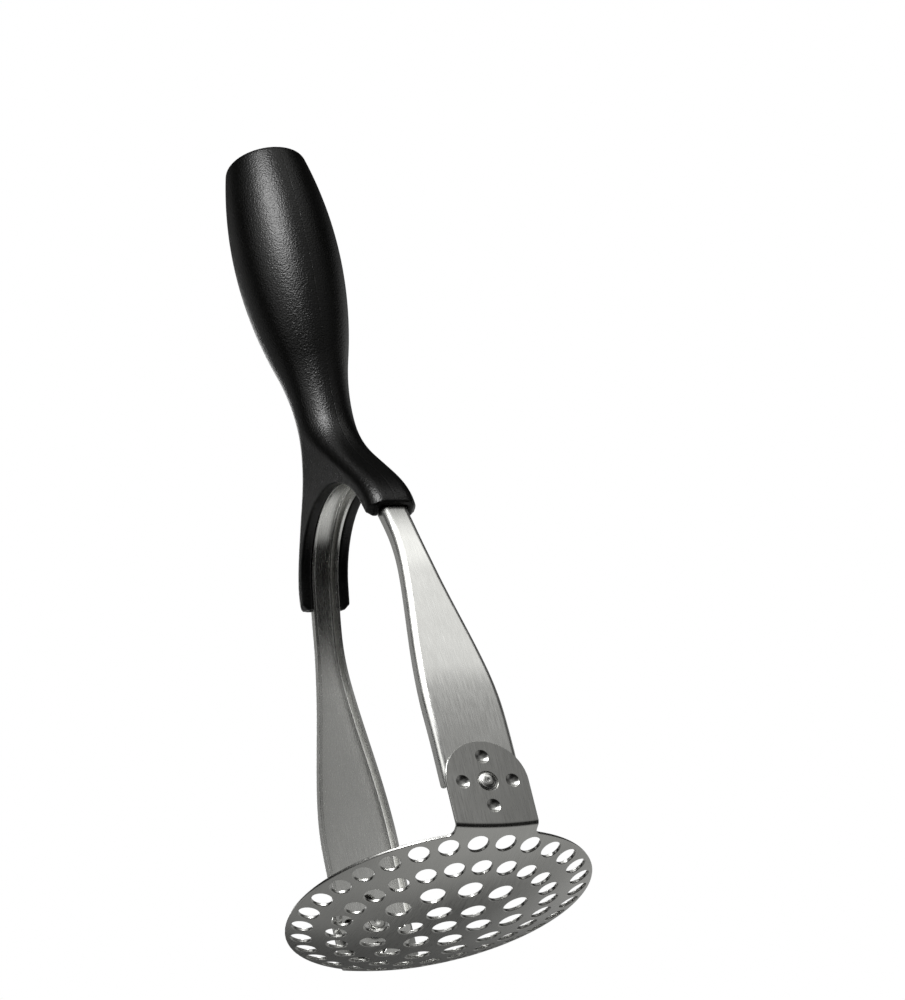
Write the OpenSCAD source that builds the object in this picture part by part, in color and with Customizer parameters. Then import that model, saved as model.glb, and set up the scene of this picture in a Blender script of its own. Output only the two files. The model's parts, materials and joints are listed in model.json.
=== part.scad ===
// Hand masher. A domed, perforated head turns on two rivets between the ends of one
// bent steel strap, and a forked two-piece grip is clamped over the strap's crown.
// Millimetres, +Z up. The front leg stands on -Y, and X runs across the legs.

/* [Mashing head] */
// Diameter of the perforated disc
head_d = 88; // [86:1:90]
// Depth of the dome, from its flat foot up to the rim
dome_h = 7.5; // [7:0.5:8]
// Diameter of the flat foot in the middle of the dome
foot_d = 24; // [22:1:26]
// Thickness of the steel sheet
sheet_t = 1; // [0.8:0.1:1.1]
// Diameter of the holes near the middle
hole_d = 7.2; // [6.4:0.2:7.4]
// Diameter of the holes near the rim
rim_hole_d = 6; // [5:0.2:6.2]
// Distance from the rim in to the middle of the outer ring of holes
rim_land = 4.2; // [4.2:0.1:4.6]

/* [Ears] */
// Height of the pivot above the foot
pivot_z = 22; // [22:0.5:23.5]
// Width of an ear
ear_w = 24.8; // [24.4:0.2:25]
// How far the outer face of an ear stands outside the rim
ear_out = 1.9; // [1.7:0.1:2.2]
// Outside radius of the bend at the foot of an ear
bend_r = 1.7; // [1.4:0.1:1.8]
// Distance of the click dimples from the pivot
dimple_r = 7.5; // [7.2:0.1:7.8]
// Diameter of a click dimple
dimple_d = 4; // [3.6:0.1:4]
// How far a dimple stands out of the inner face of an ear
dimple_h = 0.5; // [0.3:0.05:0.5]

/* [Strap] */
// Width of a leg at the pivot
leg_w = 23.6; // [22:0.2:24]
// Width of the strap at its crown
crown_w = 8.4; // [8:0.2:9]
// Depth of the folded edges
fold_d = 4; // [3.6:0.1:4.2]
// Outside radius of the folds
fold_r = 2; // [1.5:0.1:2.2]
// Gap between a leg and its ear
leg_gap = 0.55; // [0.55:0.05:0.8]

/* [Grip] */
// Overall height of the masher
total_h = 256; // [251:1:263]
// Largest diameter of the palm swell
palm_d = 32; // [30:0.5:34]
// Distance from the end of the grip down to its widest place
palm_drop = 33.5; // [30:0.5:38]
// Diameter of the neck
neck_d = 17; // [16:0.5:19]
// Height of the neck
neck_z = 164.5; // [162.5:1:166.5]
// Width of a prong
prong_w = 15; // [14.6:0.2:16]
// Distance across the prongs at their lips
fork_w = 65; // [64:0.5:67]
// Thickness of the grip's walls
wall = 2.6; // [2.2:0.2:3]

/* [Hardware] */
// Diameter of a rivet's shank
rivet_d = 3.6; // [3:0.2:3.8]
// Diameter of a rivet's head
rivet_head_d = 5.2; // [4.8:0.2:5.6]
// Diameter of a tang pin
pin_d = 3; // [2.5:0.5:3]

/* [Hidden] */
$fn = 96;
eps = 0.01;

FRONT = -1;
REAR = 1;
LEFT = -1;
RIGHT = 1;

// Head
head_r = head_d / 2;
foot_r = foot_d / 2;
// Middle and radius of the sphere through the rim and the edge of the foot
dome_z = (head_r * head_r + dome_h * dome_h - foot_r * foot_r) / (2 * dome_h);
dome_r = sqrt(dome_z * dome_z + foot_r * foot_r);
ear_y = head_r + ear_out;
// Each ring: its step from the middle, how many holes, and their diameter
RINGS = [
    [1.03, 6, hole_d],
    [2.04, 12, hole_d],
    [3.02, 24, rim_hole_d],
    [3.94, 30, rim_hole_d],
];
ring_step = (head_r - rim_land) / RINGS[3][0];

// Strap, from the rear pivot up to the crown: each bend is [length, turn, steps]
leg_y = ear_y - sheet_t - leg_gap;
BENDS = [[9.5, 0, 1], [29, 8.4, 4], [33.5, 0, 4], [25.5, 13, 4], [6.8, 0, 1]];
taper_from = pivot_z + 22.5;
taper_to = pivot_z + 89;

// Grip
neck_r = neck_d / 2;
palm_r = palm_d / 2;
channel_gap = 0.1;
seam = 0.05;
tang_w = 8;
tang_t = 2.5;
tang_foot_w = 7.2;
tang_foot_t = 1.8;
PIN_LENGTHS = [12, 18];
spine_w = 9;
// Heights in the swell, as shares of the way from the neck to the end
function up_grip(share) = neck_z + share * (total_h - neck_z);
hollow_from = up_grip(0.18);
tang_top = up_grip(0.44);
PIN_SITES = [up_grip(0.09), up_grip(0.37)];
RIB_SITES = [up_grip(0.27), up_grip(0.69)];
PEG_SITES = [up_grip(0.55), up_grip(0.84)];

// 0 to 1 with level ends
function smooth(t) = let (c = min(1, max(0, t))) c * c * (3 - 2 * c);
function mix(a, b, t) = a + (b - a) * t;

// ---------- path of the strap: stations [y, z, lean] ----------

function step_along(s, bend, f) =
    let (a = s[2] + bend[1] * f, r = bend[1] == 0 ? 0 : bend[0] / (bend[1] * PI / 180))
    bend[1] == 0
        ? [s[0] - bend[0] * f * sin(s[2]), s[1] + bend[0] * f * cos(s[2]), s[2]]
        : [s[0] + r * (cos(a) - cos(s[2])), s[1] + r * (sin(a) - sin(s[2])), a];
function station(i) = i == 0 ? [leg_y, pivot_z, 0] : step_along(station(i - 1), BENDS[i - 1], 1);
arch_from = station(len(BENDS));
arch_turn = 90 - arch_from[2];
arch_r = arch_from[0] / cos(arch_from[2]);
crown_z = arch_from[1] + arch_r * (1 - sin(arch_from[2]));
ALL_BENDS = concat(BENDS, [[arch_r * arch_turn * PI / 180, arch_turn, 9]]);
REAR_PATH = [
    for (i = [0 : len(ALL_BENDS) - 1])
        for (k = [0 : ALL_BENDS[i][2] - 1]) step_along(station(i), ALL_BENDS[i], k / ALL_BENDS[i][2])
];
// The prongs end square to the strap, where its last bend ends
lip_at = station(4);
lip_z = lip_at[1];
function mirrored(s) = [-s[0], s[1], 180 - s[2]];
PATH = concat(
    REAR_PATH,
    [[0, crown_z, 90]],
    [for (i = [len(REAR_PATH) - 1 : -1 : 0]) mirrored(REAR_PATH[i])]
);
FORK_PATH = [for (s = PATH) if (s[1] > lip_z - 30) s];
// A point u across the strap and v in from its outer face
function on_strap(s, u, v) = [-u, s[0] - v * cos(s[2]), s[1] - v * sin(s[2])];
function half_width(z) =
    mix(leg_w / 2, crown_w / 2, smooth((z - taper_from) / (taper_to - taper_from)));

// ---------- shapes ----------

// Skin over rings with equal numbers of points, closed at both ends
module loft(rings) {
    n = len(rings[0]);
    last = (len(rings) - 1) * n;
    polyhedron(
        points = [for (ring = rings) for (p = ring) p],
        faces = concat(
            [for (i = [0 : n / 2 - 2]) [i, i + 1, n - 2 - i, n - 1 - i]],
            [for (i = [0 : n / 2 - 2]) [last + n - 1 - i, last + n - 2 - i, last + i + 1, last + i]],
            [
                for (j = [0 : len(rings) - 2])
                    for (i = [0 : n - 1])
                        each [
                            [j * n + i, (j + 1) * n + i, j * n + (i + 1) % n],
                            [j * n + (i + 1) % n, (j + 1) * n + i, (j + 1) * n + (i + 1) % n],
                        ]
            ]
        )
    );
}

// Open channel with rounded folds, as [across, depth]
function channel_section(w) =
    let (a = w - fold_r, ri = fold_r - sheet_t, steps = [0 : 30 : 90])
    concat(
        [[-w, fold_d]],
        [for (k = steps) [-a - fold_r * cos(k), fold_r - fold_r * sin(k)]],
        [for (k = steps) [a + fold_r * sin(k), fold_r - fold_r * cos(k)]],
        [[w, fold_d], [w - sheet_t, fold_d]],
        [for (k = steps) [a + ri * cos(k), fold_r - ri * sin(k)]],
        [for (k = steps) [-a - ri * sin(k), fold_r - ri * cos(k)]],
        [[-w + sheet_t, fold_d]]
    );

// Turns +Z outward from the outer face of a leg at its pivot
module at_pivot(side) {
    translate([0, side * leg_y, pivot_z]) rotate([-90 * side, 0, 0]) children();
}

module around_pivot() {
    for (a = [0 : 90 : 270]) rotate([0, 0, a]) translate([dimple_r, 0, 0]) children();
}

// A cap of a sphere, d across and h high, on the plane z = 0
module sphere_cap(d, h) {
    r = (d * d / 4 + h * h) / (2 * h);
    intersection() {
        translate([0, 0, h - r]) sphere(r = r);
        translate([-d, -d, -eps]) cube([2 * d, 2 * d, h + 1]);
    }
}

// ---------- mashing head ----------

// Half section of a bowl with a flat bottom at this height, out to radius r
module bowl(radius, bottom, r) {
    intersection() {
        translate([0, dome_z]) circle(r = radius, $fn = 720);
        translate([0, bottom]) square([r, 2 * dome_h]);
    }
}

module dome_shell(r) {
    rotate_extrude($fn = 180)
        difference() {
            bowl(dome_r, 0, r);
            bowl(dome_r - sheet_t, sheet_t, r + 1);
        }
}

// Half of the ear's section: inside the dome and inside the ear's face, bend rounded
module inside_sheet(r, y, rb) {
    c = [sqrt(pow(r - rb, 2) - pow(y - rb, 2)), y - rb];
    along = c / (r - rb);
    difference() {
        intersection() {
            circle(r = r, $fn = 720);
            translate([0, y - 12]) square([r, 12]);
        }
        difference() {
            polygon([c, c + 4 * rb * along, c + 4 * rb * (along + [0, 1]), c + 4 * rb * [0, 1]]);
            translate(c) circle(r = rb);
        }
    }
}

// The sheet's section swept about the dome's middle, so it meets the dome without a step
module ear_sweep() {
    translate([0, 0, dome_z]) rotate([-90, 0, 0]) rotate([0, 0, 81])
        rotate_extrude(angle = 18, $fn = 720)
            intersection() {
                difference() {
                    inside_sheet(dome_r, ear_y, bend_r);
                    inside_sheet(dome_r - sheet_t, ear_y - sheet_t, bend_r - sheet_t);
                }
                translate([dome_z - pivot_z - ear_w, 0]) square([dome_r, ear_y + 1]);
            }
}

module ear_outline() {
    translate([-ear_w / 2, 0]) square([ear_w, pivot_z]);
    translate([0, pivot_z]) circle(r = ear_w / 2);
}

// Small fillet in plan, where a side of the ear runs into the rim
module rim_fillet() {
    rf = 2;
    c = [ear_w / 2 + rf, sqrt(pow(head_r + rf, 2) - pow(ear_w / 2 + rf, 2))];
    difference() {
        polygon([[ear_w / 2 - 1, c[1]], c, c * head_r / (head_r + rf), [ear_w / 2 - 1, head_r - 6]]);
        translate(c) circle(r = rf);
    }
}

module ear() {
    difference() {
        union() {
            intersection() {
                ear_sweep();
                translate([0, ear_y + 2, 0]) rotate([90, 0, 0]) linear_extrude(15) ear_outline();
            }
            rim_web();
            mirror([1, 0, 0]) rim_web();
        }
        translate([0, 0, -1]) cylinder(r = head_r, h = pivot_z, $fn = 180);
    }
}

module rim_web() {
    intersection() {
        dome_shell(head_r + 4);
        linear_extrude(2 * dome_h) rim_fillet();
    }
}

module mashing_head() {
    color("gainsboro") difference() {
        union() {
            dome_shell(head_r);
            ear();
            mirror([0, 1, 0]) ear();
            for (side = [FRONT, REAR])
                at_pivot(side) translate([0, 0, leg_gap]) around_pivot()
                    mirror([0, 0, 1]) sphere_cap(dimple_d - 0.5, dimple_h);
        }
        for (ring = concat([[0, 1, hole_d]], RINGS))
            for (k = [0 : ring[1] - 1])
                translate([0, 0, dome_z]) rotate([0, 0, 360 * k / ring[1]])
                    rotate([0, -asin(ring[0] * ring_step / dome_r), 0])
                        translate([0, 0, -dome_r - 2]) cylinder(d = ring[2], h = 5, $fn = 48);
        for (side = [FRONT, REAR])
            at_pivot(side) translate([0, 0, leg_gap + sheet_t]) {
                translate([0, 0, -3]) cylinder(d = rivet_d + 0.2, h = 4);
                translate([0, 0, -0.3]) cylinder(d = rivet_head_d + 0.8, h = 1);
                around_pivot() mirror([0, 0, 1]) translate([0, 0, -eps]) sphere_cap(dimple_d, dimple_h);
            }
    }
}

// ---------- strap ----------

module leg_strap() {
    color("silver") difference() {
        union() {
            loft([for (s = PATH) [for (q = channel_section(half_width(s[1]))) on_strap(s, q[0], q[1])]]);
            for (side = [FRONT, REAR])
                at_pivot(side) intersection() {
                    translate([0, 0, -sheet_t]) cylinder(d = leg_w - 1, h = sheet_t);
                    mirror([0, side == FRONT ? 1 : 0, 0])
                        translate([-leg_w, -0.2, -sheet_t]) cube([2 * leg_w, leg_w, sheet_t]);
                }
        }
        for (side = [FRONT, REAR])
            at_pivot(side) translate([0, 0, -sheet_t - 1]) {
                cylinder(d = rivet_d + 0.2, h = sheet_t + 2);
                around_pivot() cylinder(d = dimple_d - 0.2, h = sheet_t + 2);
            }
    }
}

// ---------- pivot hardware, each stacked along +Z out of the leg ----------

washer_t = 0.6;
spring_h = 0.9;

module rivet(side) {
    color("whitesmoke") at_pivot(side) rotate_extrude() {
        tail = -sheet_t - spring_h - washer_t;
        seat = leg_gap + sheet_t - 0.3;
        translate([0, tail - 0.9]) square([rivet_d / 2, seat + 0.5 - tail + 0.9]);
        translate([0, tail - 0.9]) square([rivet_head_d / 2, 0.9]);
        translate([0, seat]) intersection() {
            translate([0, -3.4]) circle(r = 4.6, $fn = 180);
            square([rivet_head_d / 2, 2]);
        }
    }
}

module disc_spring(side) {
    color("slategray") at_pivot(side) rotate_extrude()
        polygon([
            [rivet_d / 2 + 0.15, -sheet_t - spring_h],
            [rivet_d / 2 + 0.15, -sheet_t - spring_h + 0.4],
            [rivet_d / 2 + 2.6, -sheet_t],
            [rivet_d / 2 + 2.6, -sheet_t - 0.4],
        ]);
}

module washer(side) {
    color("lightsteelblue") at_pivot(side)
        translate([0, 0, -sheet_t - spring_h - washer_t]) difference() {
            cylinder(d = rivet_d + 4.8, h = washer_t);
            translate([0, 0, -1]) cylinder(d = rivet_d + 0.3, h = washer_t + 2);
        }
}

// ---------- grip ----------

// Radius above the neck: two parabolas that meet with one slope
swell = palm_r - neck_r;
rise = total_h - palm_drop - neck_z;
knee = 0.35;
function grip_r(z) =
    let (t = (z - neck_z) / rise)
    t < 0 ? neck_r
    : t < knee ? neck_r + swell * t * t / knee
    : palm_r - swell * pow(1 - t, 2) / (1 - knee);
// Half widths of the whole section across X and Y
function grip_a(z) = z > neck_z ? grip_r(z) : mix(prong_w / 2, neck_r, smooth((z - neck_z) / 19 + 1));
function grip_b(z) =
    z > neck_z ? grip_r(z)
    : mix(neck_r, fork_w / 2, smooth(pow((neck_z - z) / (neck_z - lip_z), 1.15)));
function corner_r(z) = mix(4.5, grip_a(z) - 0.02, smooth((z - neck_z) / 25 + 1));

function grip_ring(z, inset) =
    let (a = grip_a(z) - inset, b = grip_b(z) - inset, r = min(corner_r(z), a - 0.02))
    [
        for (q = [[1, 1, 0], [-1, 1, 90], [-1, -1, 180], [1, -1, 270]])
            for (k = [0 : 15 : 90])
                [q[0] * (a - r) + r * cos(q[2] + k), q[1] * (b - r) + r * sin(q[2] + k), z]
    ];

module grip_body() {
    levels = concat([for (z = [lip_z - 4 : 3.5 : neck_z]) z], [for (z = [neck_z + 3 : 4 : total_h - 2]) z]);
    loft(concat(
        [for (z = levels) grip_ring(z, 0)],
        [for (k = [0 : 30 : 90]) grip_ring(total_h - 1 + sin(k), 1 - cos(k))]
    ));
}

// Everything between the legs, up to the free edges of the folds
module under_arch() {
    rotate([90, 0, 90]) translate([0, 0, -prong_w]) linear_extrude(2 * prong_w)
        polygon([for (s = FORK_PATH) let (p = on_strap(s, 0, fold_d)) [p[1], p[2]]]);
}

// Room for the strap in the grip, open towards the arch
module strap_channel() {
    w = crown_w / 2 + channel_gap;
    corners = [[-w, -channel_gap], [w, -channel_gap], [w, fold_d + 1], [-w, fold_d + 1]];
    loft([
        for (s = FORK_PATH)
            let (extra = half_width(s[1]) - crown_w / 2)
            [for (q = corners) on_strap(s, q[0] + sign(q[0]) * extra, q[1])]
    ]);
}

module below_lips() {
    below_lip();
    mirror([0, 1, 0]) below_lip();
}

module below_lip() {
    translate([0, lip_at[0], lip_at[1]]) rotate([lip_at[2], 0, 0])
        translate([-prong_w, -26, -30]) cube([2 * prong_w, 40, 30]);
}

// Hollow of the palm swell, with its ribs, spine and peg bosses left standing
module hollow() {
    difference() {
        rotate_extrude($fn = 72) polygon(concat(
            [[0, hollow_from]],
            [for (z = [hollow_from : 5 : total_h - 6]) [grip_r(z) - wall, z]],
            [[0, total_h - 4]]
        ));
        translate([-palm_r, -spine_w / 2, hollow_from - 2])
            cube([palm_d, spine_w, tang_top - hollow_from + 6]);
        for (z = RIB_SITES) translate([-palm_r, -palm_r, z - 1]) cube([palm_d, palm_d, 2]);
        for (z = PEG_SITES) translate([-palm_r, 0, z]) rotate([0, 90, 0]) cylinder(r = 3.4, h = palm_d);
    }
}

module grip_half(side) {
    color([0.1, 0.1, 0.11]) {
        difference() {
            grip_body();
            under_arch();
            strap_channel();
            below_lips();
            hollow();
            tang_shape(0.1);
            for (i = [0, 1]) tang_pin(i, 0.03);
            translate([side == LEFT ? -seam : -2 * fork_w + seam, -fork_w, 0])
                cube([2 * fork_w, 2 * fork_w, 2 * total_h]);
            if (side == RIGHT) pegs(0.1);
        }
        if (side == LEFT) pegs(0);
    }
}

// Pegs of the left half, which reach into sockets in the right half
module pegs(gap) {
    for (z = PEG_SITES)
        translate([-1, 0, z]) rotate([0, 90, 0]) cylinder(r = 1.5 + gap, h = 4 + gap);
}

// ---------- tang and its pins ----------

module tang_shape(gap) {
    r = arch_r + 0.05;
    translate([-tang_t / 2 - gap, -tang_w / 2 - gap, crown_z + tang_foot_t / 2])
        cube([tang_t + 2 * gap, tang_w + 2 * gap, tang_top - crown_z - tang_foot_t / 2 + gap]);
    intersection() {
        translate([-tang_foot_w / 2 - gap, 0, crown_z - arch_r]) rotate([0, 90, 0]) difference() {
            cylinder(r = r + tang_foot_t + gap, h = tang_foot_w + 2 * gap);
            translate([0, 0, -1]) cylinder(r = r - gap, h = tang_foot_w + 3);
        }
        translate([-prong_w, -8 - gap, crown_z - 4]) cube([2 * prong_w, 16 + 2 * gap, 12]);
    }
}

module tang() {
    color("darkgray") difference() {
        tang_shape(0);
        for (i = [0, 1]) tang_pin(i, 0.05);
    }
}

module tang_pin(i, gap) {
    length = PIN_LENGTHS[i];
    translate([-length / 2 - gap, 0, PIN_SITES[i]]) rotate([0, 90, 0])
        cylinder(d = pin_d + 2 * gap, h = length + 2 * gap, $fn = 48);
}

mashing_head();
leg_strap();
rivet(FRONT);  // front_rivet
rivet(REAR);  // rear_rivet
disc_spring(FRONT);  // front_disc_spring
disc_spring(REAR);  // rear_disc_spring
washer(FRONT);  // front_washer
washer(REAR);  // rear_washer
grip_half(LEFT);  // left_grip_half
grip_half(RIGHT);  // right_grip_half
tang();
color("lightgray") tang_pin(0, 0);  // lower_tang_pin
color("lightgray") tang_pin(1, 0);  // upper_tang_pin
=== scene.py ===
# %% [markdown]
# # A hand masher with a head that folds flat
# A perforated, domed steel head turns on two rivets between the ends of one bent steel strap.
# A forked grip of black plastic is clamped round the top of the strap.
# This lesson dresses the plain machined solids of that masher: each visible sheet of steel is
# drawn flat and pressed to shape, the grip is moulded, and the finishes are built from nodes.
# All lengths below are in millimetres, and `MM` turns them into Blender's metres.

# %% Load the machined solids
import json
import math
import bmesh
import bpy
import numpy as np
from mathutils import Matrix, Vector

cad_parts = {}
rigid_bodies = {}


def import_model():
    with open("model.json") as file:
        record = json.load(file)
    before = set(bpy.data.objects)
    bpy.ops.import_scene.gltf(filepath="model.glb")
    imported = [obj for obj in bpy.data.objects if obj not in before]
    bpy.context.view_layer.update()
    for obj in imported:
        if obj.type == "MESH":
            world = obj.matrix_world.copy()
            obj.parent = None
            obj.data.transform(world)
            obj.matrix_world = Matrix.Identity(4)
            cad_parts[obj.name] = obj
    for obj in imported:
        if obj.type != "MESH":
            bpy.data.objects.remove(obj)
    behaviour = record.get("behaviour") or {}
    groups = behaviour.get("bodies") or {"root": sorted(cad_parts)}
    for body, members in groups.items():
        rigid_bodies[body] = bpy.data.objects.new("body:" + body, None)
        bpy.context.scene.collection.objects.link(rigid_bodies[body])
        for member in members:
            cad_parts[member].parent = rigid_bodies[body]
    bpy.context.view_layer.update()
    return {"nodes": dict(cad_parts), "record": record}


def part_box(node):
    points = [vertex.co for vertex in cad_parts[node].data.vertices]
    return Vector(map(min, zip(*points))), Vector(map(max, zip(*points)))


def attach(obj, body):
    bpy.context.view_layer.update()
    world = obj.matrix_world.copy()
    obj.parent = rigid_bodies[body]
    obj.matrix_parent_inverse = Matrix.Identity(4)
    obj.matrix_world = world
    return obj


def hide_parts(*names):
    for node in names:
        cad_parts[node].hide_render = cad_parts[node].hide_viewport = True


MM = 0.001
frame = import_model()
print("solids:", sorted(frame["nodes"]))

# %% [markdown]
# ## Sizes taken from the solids
# The rim, the ears, the strap and the grip are read from the boxes of their solids, so that the
# dressed pieces land exactly where the mechanism is. What a box can't tell, such as the size of
# a hole or the radius of a bend, is named here once and used everywhere.

# %% Driving sizes
def box_mm(name):
    """Lowest and highest corner of a solid, in millimetres."""
    low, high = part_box(name)
    return np.array(low) / MM, np.array(high) / MM


head_high = box_mm("mashing_head")[1]
strap_high = box_mm("leg_strap")[1]
grip_low, grip_high = box_mm("left_grip_half")
pivot_z = frame["record"]["behaviour"]["joints"][0]["pos_m"][2] / MM

sheet_t = 1.0
head_r = head_high[0]
dome_h = 7.5
foot_r = 12.0
ear_y = head_high[1]
ear_r = head_high[2] - pivot_z
leg_y = strap_high[1]
leg_half = strap_high[0]
print(f"rim {head_r:.1f}, ears at {ear_y:.1f}, pivot {pivot_z:.1f}, legs at {leg_y:.2f} mm")

# %% [markdown]
# ## Pressed sheet metal, drawn flat first
# The head and the strap are stampings: a blank is cut and pierced from flat sheet, its edges are
# broken, and it is then drawn and folded. Modelling it the same way keeps everything true: a
# hole stays round, the wall of a hole stays square to the sheet, and the brushing of the sheet
# runs on round each bend. So a blank is first built flat, from closed outlines, with a small
# round on every cut edge. The flat faces between the outlines are filled, cut by a grid so that
# they can bend, and every point is then moved by a `press` function.

# %% Outlines, and the round along a cut edge
EDGE_TURNS = (0.0, 30.0, 60.0, 90.0)


def edge_profile(round_r, thickness):
    """From the outer face to the inner one: how far inside the cut, how deep, and the normal."""
    rows = []
    for turn in EDGE_TURNS:
        s, c = math.sin(math.radians(turn)), math.cos(math.radians(turn))
        rows.append((round_r * (1 - s), round_r * (1 - c), -s, c))
    for turn in reversed(EDGE_TURNS):
        s, c = math.sin(math.radians(turn)), math.cos(math.radians(turn))
        rows.append((round_r * (1 - s), thickness - round_r * (1 - c), -s, -c))
    return rows


def inset_loop(points, inset):
    """Moves a closed outline, run anticlockwise, towards its inside."""
    p = np.array(points, float)
    before, after = np.roll(p, 1, 0), np.roll(p, -1, 0)
    d1 = (p - before) / np.linalg.norm(p - before, axis=1)[:, None]
    d2 = (after - p) / np.linalg.norm(after - p, axis=1)[:, None]
    n1 = np.stack([-d1[:, 1], d1[:, 0]], 1)
    n2 = np.stack([-d2[:, 1], d2[:, 0]], 1)
    middle = n1 + n2
    middle /= np.linalg.norm(middle, axis=1)[:, None]
    reach = np.clip(1 / np.maximum((middle * n1).sum(1), 0.5), 1, 2)
    return p + middle * (inset * reach)[:, None], -middle


# %% [markdown]
# A cut edge is a stack of rings: each ring is the outline again, moved in a little and down a
# little, and the rings are joined by quads. Each point also carries the normal that the flat
# sheet has there. Blender blends that value when the grid cuts an edge, so the pressed sheet
# can be shaded with exact normals and shows no facets.

# %% A flat blank in bmesh
class Blank:
    def __init__(self, thickness):
        self.thickness = thickness
        self.mesh = bmesh.new()
        self.normal = self.mesh.verts.layers.float_vector.new("flat_normal")
        self.faces_to_fill = {0: [], 1: []}

    def ring(self, points, depth, normals):
        verts = []
        for (u, v), n in zip(points, normals):
            vert = self.mesh.verts.new((u, v, -depth))
            vert[self.normal] = n
            verts.append(vert)
        return verts

    def join(self, ring, following):
        count = len(ring)
        for i in range(count):
            j = (i + 1) % count
            self.mesh.faces.new((ring[i], ring[j], following[j], following[i]))

    def border(self, ring, side):
        count = len(ring)
        for i in range(count):
            pair = (ring[i], ring[(i + 1) % count])
            edge = self.mesh.edges.get(pair) or self.mesh.edges.new(pair)
            self.faces_to_fill[side].append(edge)

    def outline(self, points, round_r):
        """The cut outer edge of the blank."""
        rings = []
        for inset, depth, sideways, up in edge_profile(round_r, self.thickness):
            moved, outward = inset_loop(points, inset)
            normals = [(-sideways * o[0], -sideways * o[1], up) for o in outward]
            rings.append(self.ring(moved, depth, normals))
        for ring, following in zip(rings, rings[1:]):
            self.join(ring, following)
        self.border(rings[0], 0)
        self.border(rings[-1], 1)

    def feature(self, around, profile, side=None, count=48):
        """A turned feature, such as a hole or a dimple. `around(r, a)` is a point of the chart at
        radius r and angle a, and each row of the profile is radius, depth and normal."""
        angles = [2 * math.pi * k / count for k in range(count)]
        rings = []
        for radius, depth, sideways, up in profile:
            if radius < 1e-6:
                rings.append([self.ring([around(0, 0)], depth, [(0, 0, up)])[0]])
                continue
            points = [around(radius, a) for a in angles]
            middle = np.mean(points, axis=0)
            normals = []
            for p in points:
                d = (np.array(p) - middle) / np.linalg.norm(np.array(p) - middle)
                normals.append((sideways * d[0], sideways * d[1], up))
            rings.append(self.ring(points, depth, normals))
        for ring, following in zip(rings, rings[1:]):
            if len(following) == 1:
                for i in range(count):
                    self.mesh.faces.new((ring[i], ring[(i + 1) % count], following[0]))
            else:
                self.join(ring, following)
        if side is None:
            self.border(rings[0], 0)
            self.border(rings[-1], 1)
        else:
            self.border(rings[0], side)

    def fill(self):
        for edges in self.faces_to_fill.values():
            bmesh.ops.triangle_fill(self.mesh, use_beauty=True, edges=edges)

    def cut(self, axis, places):
        """Cuts the whole blank along lines u = place (axis 0) or v = place (axis 1)."""
        normal = (1, 0, 0) if axis == 0 else (0, 1, 0)
        for place in places:
            point = (place, 0, 0) if axis == 0 else (0, place, 0)
            bmesh.ops.bisect_plane(
                self.mesh,
                geom=self.mesh.verts[:] + self.mesh.edges[:] + self.mesh.faces[:],
                plane_co=point,
                plane_no=normal,
                dist=1e-5,
            )


# %% [markdown]
# A mesh is built in bmesh, where faces and edges are easy to reach, and is then handed to the
# scene as an object. Every piece below passes through this one helper.

# %% From a bmesh to a piece of the scene
def mesh_piece(name, bm):
    mesh = bpy.data.meshes.new(name)
    bm.to_mesh(mesh)
    bm.free()
    piece = bpy.data.objects.new(name, mesh)
    bpy.context.scene.collection.objects.link(piece)
    return piece


# %% [markdown]
# Pressing moves the points and turns their normals. The press function gives the place of any
# point of the blank, and stepping a hair along u, v and the depth gives the sheet's own axes
# there. The grain map keeps the flat place of each point, in centimetres, for the brushing.

# %% Press a blank into a finished piece
def pressed_piece(name, blank, press, grain_place):
    bm = blank.mesh
    bm.verts.ensure_lookup_table()
    flat = np.array([v.co for v in bm.verts], float)
    normals = np.array([v[blank.normal] for v in bm.verts], float)
    u, v, depth = flat[:, 0], flat[:, 1], -flat[:, 2]
    hair = 1e-3
    place = press(u, v, depth)
    along_u = press(u + hair, v, depth) - place
    along_v = press(u, v + hair, depth) - place
    outward = press(u, v, depth - hair) - place
    axes = [a / np.linalg.norm(a, axis=1)[:, None] for a in (along_u, along_v, outward)]
    world = sum(normals[:, k, None] * axes[k] for k in range(3))
    world /= np.linalg.norm(world, axis=1)[:, None]
    turned = (np.cross(axes[0], axes[1]) * axes[2]).sum(1).mean() < 0

    bmesh.ops.triangulate(bm, faces=[f for f in bm.faces if len(f.verts) > 4])
    flips = []
    for face in bm.faces:
        face.normal_update()
        mean = Vector((0, 0, 0))
        for vert in face.verts:
            mean += Vector(vert[blank.normal])
        if (face.normal.dot(mean) < 0) != turned:
            flips.append(face)
    bmesh.ops.reverse_faces(bm, faces=flips)

    sheet_uv = bm.loops.layers.uv.new("Sheet")
    grain_u, grain_v = grain_place(u, v)
    for face in bm.faces:
        face.smooth = True
        for loop in face.loops:
            i = loop.vert.index
            loop[sheet_uv].uv = (grain_u[i] / 10, grain_v[i] / 10)
    for vert in bm.verts:
        vert.co = place[vert.index] * MM
    piece = mesh_piece(name, bm)
    piece.data.attributes.remove(piece.data.attributes["flat_normal"])
    piece.data.normals_split_custom_set_from_vertices([Vector(w) for w in world])
    print(f"{name}: {len(piece.data.polygons)} faces")
    return piece


# %% [markdown]
# ## The mashing head
# On the real tool the disc, both ears and the bends between them are one stamping: a round
# blank with two tabs, pierced with rings of holes, drawn into a shallow dome with a flat foot,
# and with its tabs folded up into ears. A boolean on a finished dome would tear its smooth
# surface at every one of the holes, so the blank is pierced while it is flat.
# The blank is measured along the sheet. Its v runs along Y, over the dome, round the bend
# and up the ear, and its u is the swing about an axis along Y through the middle of the dome's
# sphere, just as the solid's section was swept.

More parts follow.
